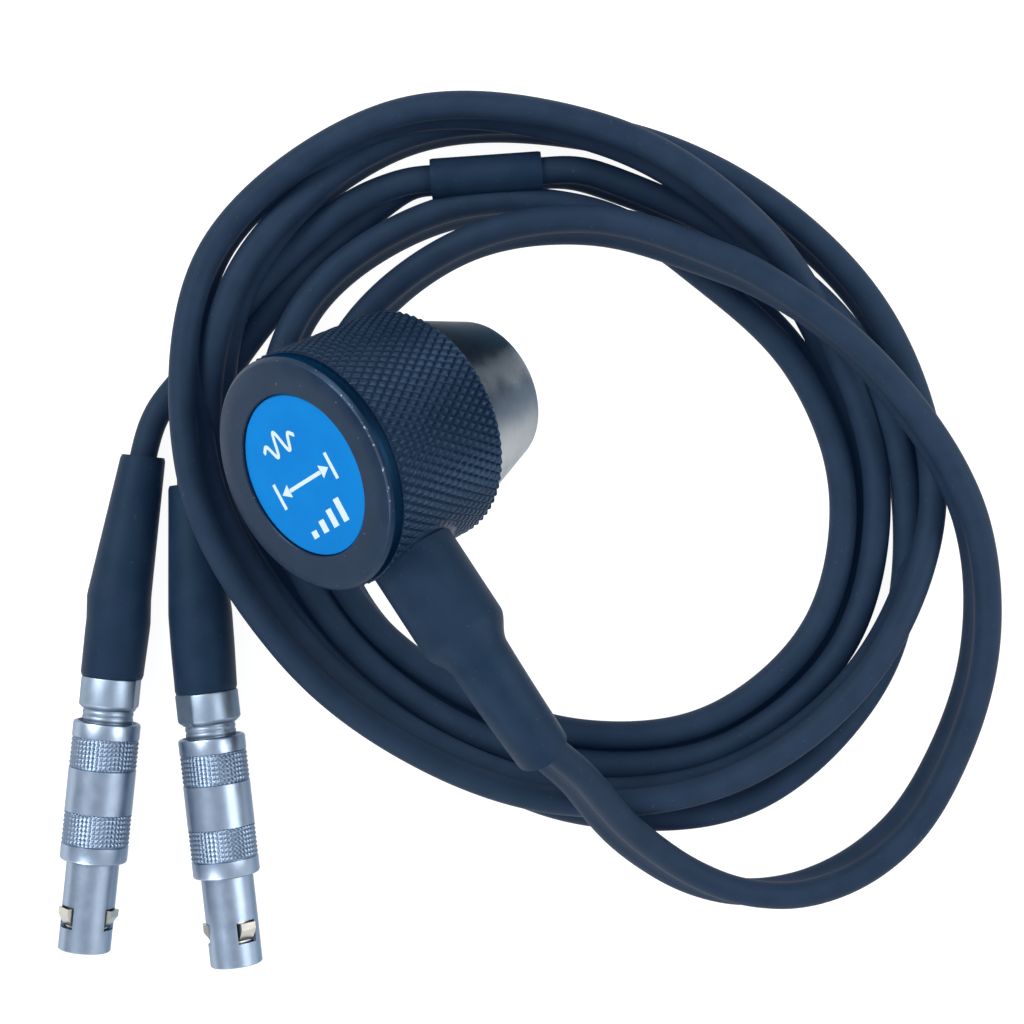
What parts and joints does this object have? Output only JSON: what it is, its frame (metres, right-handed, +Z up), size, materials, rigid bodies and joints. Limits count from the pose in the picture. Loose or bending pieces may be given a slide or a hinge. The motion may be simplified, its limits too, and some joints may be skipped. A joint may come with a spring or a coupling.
{
  "type": "ultrasonic thickness transducer",
  "caption": "Twin-crystal contact transducer: knurled barrel with a tapered steel nose, side cable exit, coiled twin lead split into single leads with push-pull coaxial plugs.",
  "frame": {"origin": "centre of the head's footprint on the surface it lies on, the cable and what is on it not counted", "axes": "+Z up from the surface, +X level from the label end to the contact nose, +Y across the head, away from the cable exit"},
  "size_m": [0.0999, 0.0875, 0.0292],
  "materials": {
    "anodised_black": "black anodised, fine diamond knurl on the side, plain satin end ring",
    "label_blue": null,
    "nose_steel": "turned and brushed, light wear",
    "element_clear": "cast acoustic plastic, polished with the face",
    "barrier_cork": "cork sheet",
    "carrier_white": "moulded, matt",
    "crystal_ceramic": "fired piezo ceramic, silvered faces",
    "backing_grey": "filled resin, cast",
    "board_green": "glass-filled board",
    "lead_copper": "tinned copper wire",
    "ferrule_nickel": "nickelled brass",
    "sleeve_black": "shrunk polyolefin sleeve, matt",
    "cable_black": "smooth extruded jacket, semi-matt",
    "plug_metal": "satin chromed brass, two knurled bands on the grip",
    "latch_brass": "plated spring brass",
    "insulator_white": "moulded insulator"
  },
  "bodies": {
    "transducer": {"housing": "anodised_black", "label_disc": "label_blue", "nose_sleeve": "nose_steel", "element_carrier": "carrier_white", "delay_block_tx": "element_clear", "delay_block_rx": "element_clear", "acoustic_barrier": "barrier_cork", "crystal_tx": "crystal_ceramic", "crystal_rx": "crystal_ceramic", "backing_tx": "backing_grey", "backing_rx": "backing_grey", "crystal_lead_tx": "lead_copper", "crystal_lead_rx": "lead_copper", "terminal_board": "board_green", "core_lead_tx": "lead_copper", "core_lead_rx": "lead_copper", "cable_ferrule": "ferrule_nickel", "strain_relief": "sleeve_black", "cable_entry": "cable_black", "cable_loop": "cable_black", "cable_coil": "cable_black", "split_sleeve": "sleeve_black", "branch_a": "cable_black", "boot_a": "sleeve_black", "collet_nut_a": "plug_metal", "cable_collet_a": "latch_brass", "latch_body_a": "plug_metal", "insulator_a": "insulator_white", "centre_contact_a": "latch_brass", "branch_b": "cable_black", "boot_b": "sleeve_black", "collet_nut_b": "plug_metal", "cable_collet_b": "latch_brass", "latch_body_b": "plug_metal", "insulator_b": "insulator_white", "centre_contact_b": "latch_brass"},
    "shell_a": {"outer_shell_a": "plug_metal"},
    "tongue_a1": {"tongue_a1": "latch_brass"},
    "tongue_a2": {"tongue_a2": "latch_brass"},
    "tongue_a3": {"tongue_a3": "latch_brass"},
    "shell_b": {"outer_shell_b": "plug_metal"},
    "tongue_b1": {"tongue_b1": "latch_brass"},
    "tongue_b2": {"tongue_b2": "latch_brass"},
    "tongue_b3": {"tongue_b3": "latch_brass"}
  },
  "joints": [
    {"name": "shell_slide_a", "type": "slide", "parent": "transducer", "child": "shell_a", "axis": [0.5563, 0.831, 0], "range_m": [0, 0.001], "stiffness_N_per_m": 1000},
    {"name": "tongue_a1_flex", "type": "hinge", "parent": "transducer", "child": "tongue_a1", "pos_m": [-0.04264, -0.02318, 0.00376], "axis": [0.2151, -0.144, -0.9659], "range_deg": [0, 7.6]},
    {"name": "tongue_a2_flex", "type": "hinge", "parent": "transducer", "child": "tongue_a2", "pos_m": [-0.04465, -0.02184, 0.00134], "axis": [-0.8027, 0.5373, 0.2588], "range_deg": [0, 7.6]},
    {"name": "tongue_a3_flex", "type": "hinge", "parent": "transducer", "child": "tongue_a3", "pos_m": [-0.04539, -0.02134, 0.00465], "axis": [0.5876, -0.3934, 0.7071], "range_deg": [0, 7.6]},
    {"name": "shell_slide_b", "type": "slide", "parent": "transducer", "child": "shell_b", "axis": [0.3681, 0.9298, 0], "range_m": [0, 0.001], "stiffness_N_per_m": 1000},
    {"name": "tongue_b1_flex", "type": "hinge", "parent": "transducer", "child": "tongue_b1", "pos_m": [-0.0323, -0.02987, 0.00474], "axis": [0.7017, -0.2778, -0.6561], "range_deg": [0, 7.6]},
    {"name": "tongue_b2_flex", "type": "hinge", "parent": "transducer", "child": "tongue_b2", "pos_m": [-0.03291, -0.02963, 0.00138], "axis": [-0.8791, 0.3481, -0.3256], "range_deg": [0, 7.6]},
    {"name": "tongue_b3_flex", "type": "hinge", "parent": "transducer", "child": "tongue_b3", "pos_m": [-0.03531, -0.02868, 0.00363], "axis": [0.1774, -0.0702, 0.9816], "range_deg": [0, 7.6]}
  ],
  "couplings": [
    {"joint": "tongue_a1_flex", "follows": "shell_slide_a", "rad_per_m": 131},
    {"joint": "tongue_a2_flex", "follows": "shell_slide_a", "rad_per_m": 131},
    {"joint": "tongue_a3_flex", "follows": "shell_slide_a", "rad_per_m": 131},
    {"joint": "tongue_b1_flex", "follows": "shell_slide_b", "rad_per_m": 131},
    {"joint": "tongue_b2_flex", "follows": "shell_slide_b", "rad_per_m": 131},
    {"joint": "tongue_b3_flex", "follows": "shell_slide_b", "rad_per_m": 131}
  ]
}
